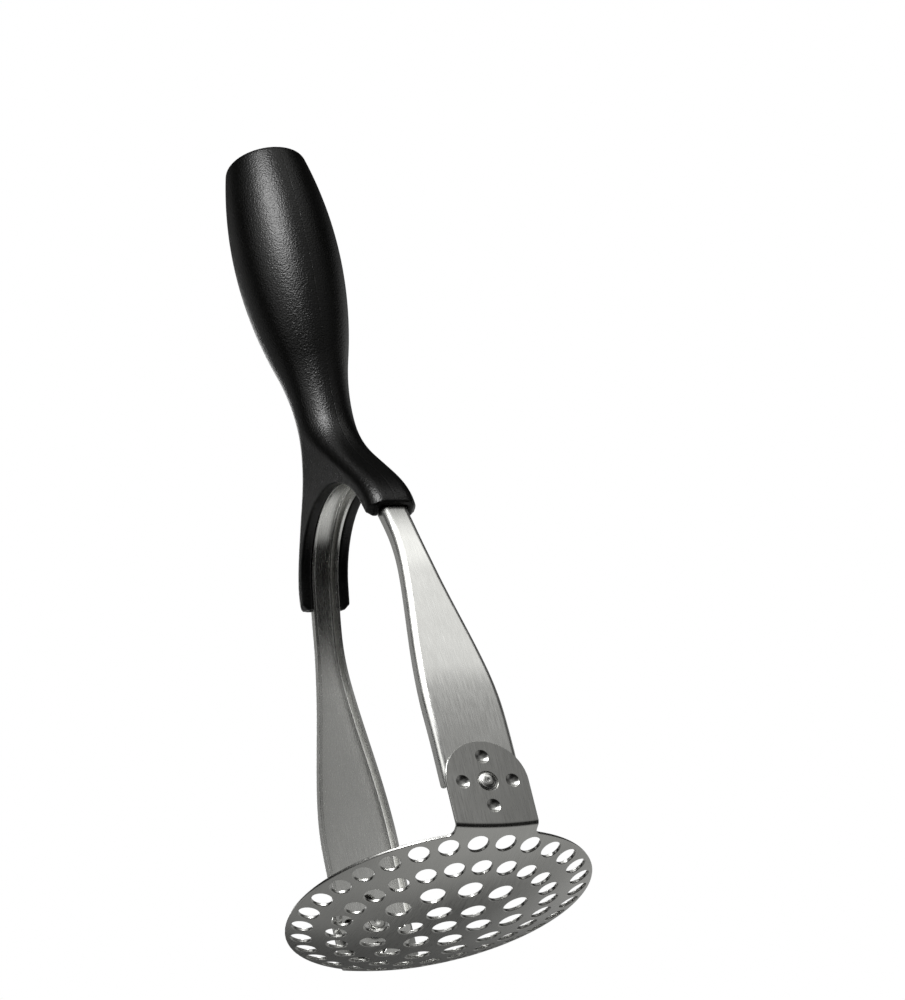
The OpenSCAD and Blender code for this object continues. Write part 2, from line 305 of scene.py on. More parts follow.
# %% Shape of the dome, the bends and the ears
dome_z = (head_r ** 2 + dome_h ** 2 - foot_r ** 2) / (2 * dome_h)
dome_r = math.hypot(dome_z, foot_r)
bend_r = 1.7
bend_turn = math.asin((ear_y - bend_r) / (dome_r - bend_r))
bend_rho = (dome_r - bend_r) * math.cos(bend_turn)
bend_from = dome_r * bend_turn
bend_to = bend_from + bend_r * (math.pi / 2 - bend_turn)
foot_blend = 0.12
print(f"dome radius {dome_r:.1f} mm, bend from {bend_from:.2f} to {bend_to:.2f} along the sheet")


def press_head(u, v, depth):
    run = np.abs(v)
    on_dome = run < bend_from
    low = np.minimum(run, bend_from) / dome_r
    turn = np.clip(bend_turn + (run - bend_from) / bend_r, bend_turn, math.pi / 2)
    folded_y = ear_y - bend_r + (bend_r - depth) * np.sin(turn)
    folded_rho = bend_rho + (bend_r - depth) * np.cos(turn) - np.maximum(run - bend_to, 0)
    y = np.where(on_dome, (dome_r - depth) * np.sin(low), folded_y)
    rho = np.where(on_dome, (dome_r - depth) * np.cos(low), folded_rho)
    x = rho * np.sin(u / dome_r)
    z = dome_z - rho * np.cos(u / dome_r)
    bottom = dome_z - np.sqrt(np.maximum(dome_r ** 2 - x ** 2 - y ** 2, 0))
    lift = (np.sqrt(bottom ** 2 + foot_blend ** 2) - bottom) / 2
    return np.stack([x, np.where(v < 0, -y, y), z + lift], 1)


def dome_place(x, y):
    """Place on the blank of the point of the dome's outer face above (x, y)."""
    turn = math.asin(abs(y) / dome_r)
    swing = math.asin(x / (dome_r * math.cos(turn)))
    return dome_r * swing, math.copysign(dome_r * turn, y)


def ear_place(x, z, side):
    """Place on the blank of a point of an ear's outer face."""
    rho = math.hypot(x, dome_z - z)
    return dome_r * math.atan2(x, dome_z - z), side * (bend_to + bend_rho - rho)


# %% [markdown]
# The outline is drawn for one quarter and mirrored: the rim, a small fillet in the corner, the
# side of the ear through the bend, and the round top of the ear about the pivot.

# %% Outline of the head's blank
fillet_r = 2.0
edge_round = 0.22
bend_step = 0.17
ear_step = 1.5
side_gap = 0.3  # the side stops this far short of the ear's round top


def arc(start, stop, step):
    count = max(2, round(abs(stop - start) / step) + 1)
    return [math.radians(a) for a in np.linspace(start, stop, count)]


def head_quarter():
    fillet_x = ear_r + fillet_r
    fillet_y = math.sqrt((head_r + fillet_r) ** 2 - fillet_x ** 2)
    corner = math.degrees(math.atan2(fillet_y, fillet_x))
    points = [dome_place(head_r * math.cos(a), head_r * math.sin(a)) for a in arc(0, corner, 1.5)]
    points += [
        dome_place(fillet_x + fillet_r * math.cos(a), fillet_y + fillet_r * math.sin(a))
        for a in arc(corner + 180, 180, 15)[1:]
    ]
    side_to = ear_place(ear_r, pivot_z, 1)[1]
    run = points[-1][1]
    while run < side_to - side_gap:
        run += bend_step if run < bend_to else ear_step
        turn = min(max(bend_turn + (run - bend_from) / bend_r, 0), math.pi / 2)
        if run < bend_from:
            rho = dome_r * math.cos(run / dome_r)
        else:
            rho = bend_rho + bend_r * math.cos(turn) - max(run - bend_to, 0)
        if run < side_to - side_gap:
            points.append((dome_r * math.asin(ear_r / rho), run))
    points += [
        ear_place(ear_r * math.cos(a), pivot_z + ear_r * math.sin(a), 1) for a in arc(0, 90, 3)
    ]
    return points[:-1] + [(0.0, points[-1][1])]


def four_quarters(quarter):
    return (
        quarter
        + [(-u, v) for u, v in reversed(quarter[:-1])]
        + [(-u, -v) for u, v in quarter[1:]]
        + [(u, -v) for u, v in reversed(quarter[1:-1])]
    )


head_blank = Blank(sheet_t)
head_blank.outline(four_quarters(head_quarter()), edge_round)

# %% [markdown]
# Each hole is a circle on the dome itself, pierced square to the sheet. The rings step almost
# evenly from the middle to a land inside the rim, and the holes of the two outer rings are
# smaller.

# %% Rings of holes
hole_d = 7.2
rim_hole_d = 6.0
rim_land = 4.2
RINGS = ((1.03, 6, hole_d), (2.04, 12, hole_d), (3.02, 24, rim_hole_d), (3.94, 30, rim_hole_d))
ring_step = (head_r - rim_land) / RINGS[-1][0]


def circle_on_dome(ring_r, bearing):
    tilt = math.asin(ring_r / dome_r)
    out = Vector((math.cos(bearing), math.sin(bearing), 0))
    down = Vector((0, 0, -1))
    middle = out * math.sin(tilt) + down * math.cos(tilt)
    radial = out * math.cos(tilt) - down * math.sin(tilt)
    across = Vector((-math.sin(bearing), math.cos(bearing), 0))

    def around(radius, angle):
        reach = math.asin(radius / dome_r)
        side = radial * math.cos(angle) + across * math.sin(angle)
        point = (middle * math.cos(reach) + side * math.sin(reach)) * dome_r
        return dome_place(point.x, point.y)

    return around


def pierced(radius, round_r):
    return [(radius + i, d, s, up) for i, d, s, up in edge_profile(round_r, sheet_t)]


head_blank.feature(circle_on_dome(0, 0), pierced(hole_d / 2, edge_round))
for step, count, size in RINGS:
    for k in range(count):
        around = circle_on_dome(step * ring_step, 2 * math.pi * k / count)
        head_blank.feature(around, pierced(size / 2, edge_round), count=40)
print("holes:", 1 + sum(count for step, count, size in RINGS))

# %% [markdown]
# An ear has a rivet hole in a shallow spotface, and four dimples about it that click into holes
# of the leg. A dimple is struck from outside with a ball: a pit on the outer face, and a lower
# bump on the inner one. Both are turned profiles set into the flat blank.

# %% Dimples and rivet seats of the ears
dimple_at = 7.5
pit_r, pit_deep = 1.9, 0.72
pit_lip = 0.08
bump_r, bump_high = 1.75, 0.5
rivet_r = 1.8
rivet_hole_r = rivet_r + 0.1
spotface_r, spotface_deep = 3.0, 0.3
broken_edge = 0.1


def pit_profile():
    ball = (pit_r ** 2 + pit_deep ** 2) / (2 * pit_deep)
    edge = math.asin(pit_r / ball)
    rows = [(pit_r + 0.22, 0, 0, 1), (pit_r + pit_lip, 0.02, -0.35, 0.94)]
    for k in range(9):
        a = edge * (1 - k / 8)
        deep = pit_lip + ball * (math.cos(a) - math.cos(edge))
        rows.append((ball * math.sin(a), deep, -math.sin(a), math.cos(a)))
    return rows


def bump_profile():
    ball = (bump_r ** 2 + bump_high ** 2) / (2 * bump_high)
    edge = math.asin(bump_r / ball)
    rows = [(bump_r + 0.2, sheet_t, 0, -1)]
    for k in range(8):
        a = edge * (1 - k / 7)
        deep = sheet_t + ball * (math.cos(a) - math.cos(edge))
        rows.append((ball * math.sin(a), deep, math.sin(a), -math.cos(a)))
    return rows


def spotface_profile():
    bore, edge = rivet_hole_r, broken_edge
    return [
        (spotface_r + edge, 0, 0, 1), (spotface_r + 0.03, 0.03, -0.6, 0.8),
        (spotface_r, edge, -1, 0), (spotface_r, spotface_deep, -1, 0),
        (spotface_r - 0.02, spotface_deep, 0, 1), (bore + edge, spotface_deep, 0, 1),
        (bore, spotface_deep + edge, -1, 0), (bore, sheet_t - edge, -1, 0),
        (bore + edge, sheet_t, 0, -1),
    ]


def circle_on_ear(x, z, side):
    def around(radius, angle):
        return ear_place(x + radius * math.cos(angle), z + radius * math.sin(angle), side)
    return around


for side in (-1, 1):
    head_blank.feature(circle_on_ear(0, pivot_z, side), spotface_profile())
    for k in range(4):
        x = dimple_at * math.cos(k * math.pi / 2)
        z = pivot_z + dimple_at * math.sin(k * math.pi / 2)
        head_blank.feature(circle_on_ear(x, z, side), pit_profile(), side=0)
        head_blank.feature(circle_on_ear(x, z, side), bump_profile(), side=1)

# %% [markdown]
# The faces between the outlines are large and flat. Before the blank is pressed they are cut by
# a grid, and more finely where the ears are bent up. The grid stands a hair off the middle, so
# that none of its lines runs through a point of a hole.

# %% Fill, cut and press the head
grid_step = 2.0
grid_shift = 0.013
grid_reach = round(head_r)
head_blank.fill()
grid_places = np.arange(-grid_reach, grid_reach + 1, grid_step) + grid_shift
bend_places = np.linspace(bend_from, bend_to, 13)
head_blank.cut(0, grid_places)
head_blank.cut(1, grid_places)
head_blank.cut(1, np.concatenate([bend_places, -bend_places]))


def head_grain(u, v):
    """Brushed along Y: lines of equal x stay parallel, also on the ears."""
    return press_head(u, v, np.zeros(len(u)))[:, 0], v


head = pressed_piece("pressed_head", head_blank, press_head, head_grain)
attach(head, "head")
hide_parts("mashing_head")

# %% [markdown]
# ## The strap
# Both legs are one strip of the same sheet: a waisted strip with round ends, whose two long
# edges are folded in to make a stiff channel, and which is then bent over the crown like a hoop.
# Its path is walked with a few bends, each a length and a turn, from the rear pivot up to the
# crown, and mirrored for the front leg. A subdivided box along a curve would lose the even
# width of the folds, so the strip is a blank too, and one press does the folds and the hoop.

# %% Path and width of the strap
BENDS = ((9.5, 0.0), (29.0, 8.4), (33.5, 0.0), (25.5, 13.0), (6.8, 0.0))
crown_half = 4.2
fold_d = 4.0
fold_r = 2.0
taper_from = pivot_z + 22.5
taper_to = pivot_z + 89.0


def walk(start, length, turn, run):
    y, z, lean = start
    if turn == 0:
        return y - run * np.sin(lean), z + run * np.cos(lean), lean + 0 * run
    radius = length / math.radians(turn)
    new_lean = lean + run / radius
    return y + radius * (np.cos(new_lean) - np.cos(lean)), \
        z + radius * (np.sin(new_lean) - np.sin(lean)), new_lean


stations = [(leg_y, pivot_z, 0.0)]
for length, turn in BENDS:
    stations.append(tuple(float(c) for c in walk(stations[-1], length, turn, length)))
hoop_turn = math.pi / 2 - stations[-1][2]
hoop_r = stations[-1][0] / math.cos(stations[-1][2])
ALL_BENDS = BENDS + ((hoop_r * hoop_turn, math.degrees(hoop_turn)),)
half_run = sum(length for length, turn in ALL_BENDS)
full_run = 2 * half_run
crown_z = stations[-1][1] + hoop_r * (1 - math.sin(stations[-1][2]))
print(f"strip {full_run:.1f} mm between pivots, crown at {crown_z:.1f} mm, hoop radius {hoop_r:.1f}")


def strap_line(s):
    """Place of the strap's outer face along its run: y, z and lean."""
    near = np.where(s > half_run, full_run - s, s)
    y, z, lean = np.full(len(s), leg_y), pivot_z + near, np.zeros(len(s))
    begun = 0.0
    for (length, turn), start in zip(ALL_BENDS, stations):
        here = (near >= begun) & (near <= begun + length + 1e-6)
        ny, nz, nl = walk(start, length, turn, near - begun)
        y, z, lean = np.where(here, ny, y), np.where(here, nz, z), np.where(here, nl, lean)
        begun += length
    front = s > half_run
    return np.where(front, -y, y), z, np.where(front, math.pi - lean, lean), near


def smooth(t):
    c = np.clip(t, 0, 1)
    return c * c * (3 - 2 * c)


def strap_half(z):
    return leg_half + (crown_half - leg_half) * smooth((z - taper_from) / (taper_to - taper_from))


# %% [markdown]
# Across the strip the blank is normalised: the flat middle always spans the same u, and the
# folds begin at the same u everywhere, so that the lines of the grid run exactly along them.
# Below the pivots the folds stop at a small relief slot, and the end of the leg is flat.

# %% Press the strip
flat_u = leg_half - fold_r
fold_run = fold_r * math.pi / 2
strip_u = flat_u + fold_run + fold_d - fold_r


def across_strap(u, depth, flat):
    """Place across the folded section: sideways, and in from the outer face."""
    over = np.abs(u) - flat_u
    turn = np.clip(over / fold_r, 0, math.pi / 2)
    x = np.where(over < 0, np.abs(u) * flat / flat_u, flat + (fold_r - depth) * np.sin(turn))
    inward = np.where(over < 0, depth, fold_r - (fold_r - depth) * np.cos(turn))
    inward = inward + np.maximum(over - fold_run, 0)
    return np.sign(u) * x, inward


def press_strap(u, v, depth):
    y, z, lean, near = strap_line(v)
    x, inward = across_strap(u, depth, strap_half(z) - fold_r)
    x, inward = np.where(near < 0, u, x), np.where(near < 0, depth, inward)
    return np.stack([-x, y - inward * np.cos(lean), z - inward * np.sin(lean)], 1)


def strap_grain(u, v):
    y, z, lean, near = strap_line(v)
    flat = strap_half(z) - fold_r
    over = np.maximum(np.abs(u) - flat_u, 0)
    return np.sign(u) * (np.minimum(np.abs(u), flat_u) * flat / flat_u + over), v


# %% [markdown]
# The strip's outline is drawn for the right side of one end and mirrored: the round end, the
# relief slot, and the rounded corner where the fold begins. Each end is pierced for the rivet,
# and about it for the four dimples of the ear.

# %% Outline of the strip, and its holes
end_r = leg_half - 0.5
slot_half = 0.35
slot_in = 0.2
corner_r = 1.4
hole_round = 0.12
detent_r = 1.9


def strip_right_side():
    bottom = [
        (end_r * math.cos(a), end_r * math.sin(a))
        for a in arc(-90, -math.degrees(math.asin(slot_half / end_r)), 4)
    ]
    slot = [(flat_u - slot_in, -slot_half), (flat_u - slot_in, slot_half)]
    corner = [
        (strip_u - corner_r + corner_r * math.cos(a), slot_half + corner_r + corner_r * math.sin(a))
        for a in arc(-90, 0, 22.5)
    ]
    half = bottom + slot + corner
    return half + [(u, full_run - v) for u, v in reversed(half)]


right = strip_right_side()
strap_blank = Blank(sheet_t)
strap_blank.outline(right + [(-u, v) for u, v in reversed(right[1:-1])], edge_round)


def circle_on_strip(u, v):
    return lambda radius, angle: (u + radius * math.cos(angle), v + radius * math.sin(angle))


for end in (0, full_run):
    strap_blank.feature(circle_on_strip(0, end), pierced(rivet_hole_r, hole_round))
    for k in range(4):
        u = dimple_at * math.cos(k * math.pi / 2)
        v = end + dimple_at * math.sin(k * math.pi / 2)
        strap_blank.feature(circle_on_strip(u, v), pierced(detent_r, hole_round))

# %% [markdown]
# The blank is cut along both folds, and across at short steps so that it can follow the hoop.
# The first cut is placed a hair off the points of the outline.

# %% Fill, cut and press the strap
first_cut = 2.011
cut_step = 1.6
strap_blank.fill()
fold_places = flat_u + np.linspace(0, fold_run, 10)
strap_blank.cut(0, np.concatenate([fold_places, -fold_places]))
strap_blank.cut(1, np.arange(first_cut, full_run - 1, cut_step))
strap = pressed_piece("folded_strap", strap_blank, press_strap, strap_grain)
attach(strap, "frame")
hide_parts("leg_strap")

# %% [markdown]
# ## The grip
# The grip is two mouldings of filled nylon that close round the strap. Its palm swell and neck
# are turned shapes, and below the neck they flow into a fork whose prongs follow the strap.
# A lathe can't make the fork and a subdivision cage can't hold the crisp lips, so the body is
# lofted from sections, the arch, the channel and the ends are cut off it, and it is then
# remeshed and relaxed, which leaves on every cut the small soft radius of a moulding.

# %% Sections of the grip
total_h = grip_high[2]
palm_r = -grip_low[0]
fork_half = grip_high[1]
neck_r = 8.5
neck_z = 164.5
palm_drop = 33.5
prong_half = 7.5
knee = 0.35
prong_corner_r = 4.5
side_blend = 19.0
corner_blend = 25.0
fork_flare = 1.15
end_round = 1.0
corner_clear = 0.02  # a corner stays just under the half width, so no two points fall together
lip_y, lip_z, lip_lean = stations[4]
rise = total_h - palm_drop - neck_z
swell = palm_r - neck_r


def mix(a, b, t):
    return a + (b - a) * t


def grip_radius(z):
    t = (z - neck_z) / rise
    hollow = neck_r + swell * t * t / knee
    crowned = palm_r - swell * (1 - t) ** 2 / (1 - knee)
    return np.where(t < 0, neck_r, np.where(t < knee, hollow, crowned))


def grip_section(z):
    """Half width across X, half width across Y and corner radius of the section at a height."""
    a = mix(prong_half, neck_r, smooth((z - neck_z) / side_blend + 1))
    down = np.maximum((neck_z - z) / (neck_z - lip_z), 0)
    b = mix(neck_r, fork_half, smooth(down ** fork_flare))
    rounded = smooth((z - neck_z) / corner_blend + 1)
    corner = mix(prong_corner_r, a - corner_clear, rounded)
    above = z > neck_z
    r = grip_radius(z)
    return np.where(above, r, a), np.where(above, r, b), np.where(above, r - corner_clear, corner)


def grip_ring(z, inset, count=24):
    """A section as a closed ring of points, with `count` of them round each corner."""
    a, b, r = (float(c) - inset for c in grip_section(np.array(z)))
    ring = []
    for k in range(4 * count):
        angle = math.pi / 2 * (k // count + (k % count) / (count - 1))
        middle_x = (a - r) * (1 if (k // count) in (0, 3) else -1)
        middle_y = (b - r) * (1 if (k // count) in (0, 1) else -1)
        ring.append((middle_x + r * math.cos(angle), middle_y + r * math.sin(angle), z))
    return ring


# %% [markdown]
# A skin is a closed surface over a stack of rings. The grip's body is one, and so are the solids
# that are cut off it. Two of those follow the strap: the channel, and the arch between its legs.

# %% Skins over rings
def skin(name, rings):
    bm = bmesh.new()
    rows = [[bm.verts.new(Vector(p) * MM) for p in ring] for ring in rings]
    for low, high in zip(rows, rows[1:]):
        for i in range(len(low)):
            j = (i + 1) % len(low)
            bm.faces.new((low[i], low[j], high[j], high[i]))
    bm.faces.new(list(reversed(rows[0])))
    bm.faces.new(rows[-1])
    bmesh.ops.remove_doubles(bm, verts=bm.verts, dist=1e-7)
    bmesh.ops.recalc_face_normals(bm, faces=bm.faces)
    return mesh_piece(name, bm)


def apply_modifiers(piece):
    graph = bpy.context.evaluated_depsgraph_get()
    mesh = bpy.data.meshes.new_from_object(piece.evaluated_get(graph))
    piece.modifiers.clear()
    piece.data = mesh


# %% The body of the grip
below_lip = 6.0
section_step = 1.2
heights = np.arange(lip_z - below_lip, total_h - 1.5 * end_round, section_step)
body_rings = [grip_ring(z, 0) for z in heights]
end_rings = [
    grip_ring(total_h - end_round + end_round * math.sin(a), end_round - end_round * math.cos(a))
    for a in arc(0, 90, 15)
]
grip = skin("grip_body", body_rings + end_rings)
print("grip body:", len(body_rings) + len(end_rings), "sections")

# %% Rings that follow the strap
sweep_count = 90


def swept_channel(corners, run_from):
    """Rings of a section, given as (across, inward) corners, swept along the strap."""
    s = np.linspace(run_from, full_run - run_from, sweep_count)
    y, z, lean, near = strap_line(s)
    rings = []
    for i in range(len(s)):
        spread = float(strap_half(z[i]) - crown_half)
        sweep_y, sweep_z = math.cos(lean[i]), math.sin(lean[i])
        rings.append([
            (u + math.copysign(spread, u), y[i] - d * sweep_y, z[i] - d * sweep_z)
            for u, d in corners
        ])
    return rings


def arch_prism(half_width, run_from):
    """Everything inside the line of the folds' free edges, right through the grip."""
    y, z, lean, near = strap_line(np.linspace(run_from, full_run - run_from, sweep_count))
    y, z = y - fold_d * np.cos(lean), z - fold_d * np.sin(lean)
    return [[(x, y[i], z[i]) for i in range(len(y))] for x in (-half_width, half_width)]


# %% [markdown]
# The arch is everything between the legs, up to the free edges of the folds. The channel is the
# strap's own section with a little air round it. The prongs end square to the strap, with their
# side corners taken off.

# %% Cutters for the arch, the channel and the lips
channel_gap = 0.12
channel_below = 34.0
channel_from = sum(length for length, turn in BENDS[:4]) - channel_below
channel_half = crown_half + channel_gap
channel_deep = fold_d + 1
cutter_half = 20.0  # wider than the grip, so that a cutter passes right through it
channel_section = (
    (-channel_half, -channel_gap), (channel_half, -channel_gap),
    (channel_half, channel_deep), (-channel_half, channel_deep),
)
arch_cutter = skin("arch_cutter", arch_prism(cutter_half, channel_from))
channel_cutter = skin("channel_cutter", swept_channel(channel_section, channel_from))
block_in, block_out, block_deep = 26.0, 14.0, 30.0
lip_corner = 1.6


def lip_place(side, x, outward, upward):
    """A point measured from the end of a prong: out from the strap, and up along it."""
    s, c = math.sin(lip_lean), math.cos(lip_lean)
    return x, side * (lip_y + outward * c - upward * s), lip_z + outward * s + upward * c


def lip_cutter(side):
    """A block below the end of a prong, square to the strap."""
    block = ((block_out, 0), (-block_in, 0), (-block_in, -block_deep), (block_out, -block_deep))
    rings = [
        [lip_place(side, x, outward, upward) for outward, upward in block]
        for x in (-cutter_half, cutter_half)
    ]
    return skin("lip_cutter", rings)


def corner_cutter(side, hand):
    """A wedge that takes the corner off a prong, between its end and one of its sides."""
    inner, outer = prong_half - lip_corner - 1, prong_half + 1
    wedge = ((inner, -1), (outer, lip_corner + 1), (outer, -1))
    rings = [
        [lip_place(side, hand * x, outward, upward) for x, upward in wedge]
        for outward in (-block_in, block_out)
    ]
    return skin("corner_cutter", rings)


# %% Cut the grip
cutters = [lip_cutter(1), lip_cutter(-1)]
cutters += [corner_cutter(side, hand) for side in (1, -1) for hand in (1, -1)]
cutters += [arch_cutter, channel_cutter]
for cutter in cutters:
    cut = grip.modifiers.new("cut", "BOOLEAN")
    cut.operation = "DIFFERENCE"
    cut.solver = "EXACT"
    cut.object = cutter
apply_modifiers(grip)
for cutter in cutters:
    bpy.data.objects.remove(cutter)
print("grip body after the cuts:", len(grip.data.polygons), "faces")

# %% [markdown]
# Remeshing turns the body into an even net of small quads, and a few rounds of smoothing soften
# the cut edges. Smoothing also shrinks the net a little, so points near the lofted surface are
# put back on it, apart from the rounded end at the top. What is left soft is only the edges.

# %% Remesh, relax and true up the body
net_size = 0.45
near_gap = 0.12
gap_fade = 0.3
end_zone = 1.3
remesh = grip.modifiers.new("net", "REMESH")
remesh.mode = "VOXEL"
remesh.voxel_size = net_size * MM
relax = grip.modifiers.new("relax", "SMOOTH")
relax.factor = 0.5
relax.iterations = 7
apply_modifiers(grip)


def true_up(points):
    """Moves points that lie near the lofted surface onto it, level with where they are."""
    x, y, z = points.T
    a, b, r = grip_section(z)
    qx, qy = np.abs(x) - (a - r), np.abs(y) - (b - r)
    corner = (qx > 0) & (qy > 0)
    reach = np.hypot(np.maximum(qx, 1e-9), np.maximum(qy, 1e-9))
    gap = np.where(corner, reach - r, np.maximum(qx, qy) - r)
    push_x = np.where(corner, qx / reach, np.where(qx > qy, 1.0, 0.0)) * np.sign(x)
    push_y = np.where(corner, qy / reach, np.where(qx > qy, 0.0, 1.0)) * np.sign(y)
    hold = 1 - smooth((np.abs(gap) - near_gap) / gap_fade)
    hold = np.where(z > total_h - end_zone, 0, hold)
    moved = points.copy()
    moved[:, 0] -= push_x * gap * hold
    moved[:, 1] -= push_y * gap * hold
    return moved


net = np.zeros(len(grip.data.vertices) * 3)
grip.data.vertices.foreach_get("co", net)
net = true_up(net.reshape(-1, 3) / MM)
grip.data.vertices.foreach_set("co", (net * MM).ravel())
print("grip net:", len(grip.data.polygons), "faces")

# %% [markdown]
# The two mouldings meet on the middle plane of the grip, which runs down both prongs. Their
# edges are slightly broken, so the joint shows as a fine line down the front. The net is cut
# beside the joint and eased in towards it, and each half is closed with a flat face.

# %% Part the grip into its two mouldings
seam = 0.01
moulded_crease = 50.0
# Each row is a distance from the joint, and how far the surface is eased in there
SEAM_LINES = ((seam, 0.05), (0.1, 0.03), (0.2, 0.01), (0.4, 0.0))


def grip_shell(name, side):
    bm = bmesh.new()
    bm.from_mesh(grip.data)
    for at, deep in SEAM_LINES:
        bmesh.ops.bisect_plane(
            bm, geom=bm.verts[:] + bm.edges[:] + bm.faces[:],
            plane_co=(side * at * MM, 0, 0), plane_no=(-side, 0, 0), dist=1e-8,
            clear_outer=at == seam,
        )
    bm.normal_update()
    moves = []
    places = [at for at, deep in SEAM_LINES]
    depths = [deep for at, deep in SEAM_LINES]
    for vert in bm.verts:
        at = abs(vert.co.x) / MM
        if at < SEAM_LINES[-1][0]:
            moves.append((vert, vert.normal * float(np.interp(at, places, depths)) * MM))
    for vert, move in moves:
        vert.co -= Vector((0, move.y, move.z))
    open_edges = [e for e in bm.edges if e.is_boundary]
    bmesh.ops.triangle_fill(bm, use_beauty=True, edges=open_edges)
    bmesh.ops.recalc_face_normals(bm, faces=bm.faces)
    piece = mesh_piece(name, bm)
    piece.data.shade_smooth()
    piece.data.set_sharp_from_angle(angle=math.radians(moulded_crease))
    print(f"{name}: {len(piece.data.polygons)} faces")
    return piece


left_shell = grip_shell("left_grip_shell", -1)
right_shell = grip_shell("right_grip_shell", 1)
bpy.data.objects.remove(grip)
for shell, node in ((left_shell, "left_grip_half"), (right_shell, "right_grip_half")):
    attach(shell, "frame")
    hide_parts(node)

# %% [markdown]
# ## The rivets
# A rivet is turned from bar: a shank, a low domed head that sits in the ear's spotface, and a
# tail that is spun over a washer and a disc spring inside the leg. It is a true solid of
# revolution, so it is a profile spun round its own axis. The piece keeps its origin on that
# axis, which lets the finish run in circles round it.

# %% Turn a profile into a piece
turned_crease = 35.0


def turned_piece(name, profile, side, count=96):
    bm = bmesh.new()
    rows = []
    for radius, height in profile:
        if radius == 0:
            rows.append([bm.verts.new((0, 0, height * MM))])
            continue
        rows.append([
            bm.verts.new((
                radius * MM * math.cos(2 * math.pi * k / count),
                radius * MM * math.sin(2 * math.pi * k / count),
                height * MM,
            ))
            for k in range(count)
        ])
    for low, high in zip(rows, rows[1:]):
        for i in range(count):
            j = (i + 1) % count
            corners = [low[i % len(low)], low[j % len(low)], high[j % len(high)], high[i % len(high)]]
            bm.faces.new(list(dict.fromkeys(corners)))
    bmesh.ops.recalc_face_normals(bm, faces=bm.faces)
    piece = mesh_piece(name, bm)
    piece.data.shade_smooth()
    piece.data.set_sharp_from_angle(angle=math.radians(turned_crease))
    turn = Matrix.Rotation(math.radians(-90 * side), 4, "X")
    piece.matrix_world = Matrix.Translation(Vector((0, side * leg_y, pivot_z)) * MM) @ turn
    return piece


# %% Profile of a rivet: radius, and height out from the leg's outer face
leg_gap = ear_y - sheet_t - leg_y
rivet_head_r = 2.6
head_seat = leg_gap + sheet_t - spotface_deep
head_top = head_seat + 1.13
washer_under = -2.5
rivet_tail = washer_under - 0.9
RIVET_PROFILE = (
    (0, rivet_tail + 0.25), (0.7, rivet_tail + 0.2), (1.1, rivet_tail), (2.1, rivet_tail),
    (2.45, rivet_tail + 0.12), (rivet_head_r, rivet_tail + 0.4),
    (rivet_head_r, washer_under - 0.1), (rivet_head_r - 0.1, washer_under),
    (rivet_r, washer_under), (rivet_r, head_seat), (rivet_head_r - 0.1, head_seat),
    (rivet_head_r, head_seat + 0.08), (rivet_head_r, head_seat + 0.34), (2.5, head_seat + 0.48),
    (2.2, head_seat + 0.66), (2.05, head_seat + 0.68), (1.9, head_seat + 0.79),
    (1.4, head_seat + 0.98), (0.9, head_seat + 1.1), (0.5, head_top),
    (0.38, head_seat + 1.06), (0, head_seat + 1.0),
)
rivets = []
for name, side in (("front_rivet", -1), ("rear_rivet", 1)):
    rivet = turned_piece("turned_" + name, RIVET_PROFILE, side)
    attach(rivet, "frame")
    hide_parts(name)
    rivets.append(rivet)
print("rivet length:", round(head_top - rivet_tail, 2), "mm")

# %% [markdown]
# ## Shared finishes
# Brushed steel is scratched by an endless abrasive belt: fine lines of uneven depth, all along
# one way, with a slower, cloudy change of tone where the belt bore harder. The lines are noise
# stretched along the sheet. They are read from the grain map, so they follow every bend. One
# node group makes them, and each steel places it with its own sizes.

# %% Small helpers for node trees
def new_group(name, inputs, outputs):
    """A shader group: inputs are (name, type, value), outputs are (name, type)."""
    group = bpy.data.node_groups.new(name, "ShaderNodeTree")
    for label, kind, value in inputs:
        socket = group.interface.new_socket(label, in_out="INPUT", socket_type=kind)
        if value is not None:
            socket.default_value = value
    for label, kind in outputs:
        group.interface.new_socket(label, in_out="OUTPUT", socket_type=kind)
    start = group.nodes.new("NodeGroupInput")
    end = group.nodes.new("NodeGroupOutput")
    return group, start, end


def set_inputs(tree, node, values):
    """Sets the inputs of a node, or links them, by name or number."""
    for key, value in values.items():
        if isinstance(value, bpy.types.NodeSocket):
            tree.links.new(value, node.inputs[key])
        else:
            node.inputs[key].default_value = value


def add(tree, kind, props=None, inputs=None):
    """Adds a node, sets its properties, and sets or links its inputs."""
    node = tree.nodes.new(kind)
    for key, value in (props or {}).items():
        setattr(node, key, value)
    set_inputs(tree, node, inputs or {})
    return node


def maths(tree, operation, a, b=0.0):
    return add(
        tree, "ShaderNodeMath", props={"operation": operation}, inputs={0: a, 1: b}
    ).outputs[0]


def remap(tree, value, low, high, new_low, new_high):
    return add(
        tree, "ShaderNodeMapRange",
        inputs={0: value, 1: low, 2: high, 3: new_low, 4: new_high},
    ).outputs[0]


def spread_noise(tree, noise, low, high):
    """Stretches the span in which most of a noise lies, 0.3 to 0.7, over a new one."""
    return remap(tree, noise, 0.3, 0.7, low, high)


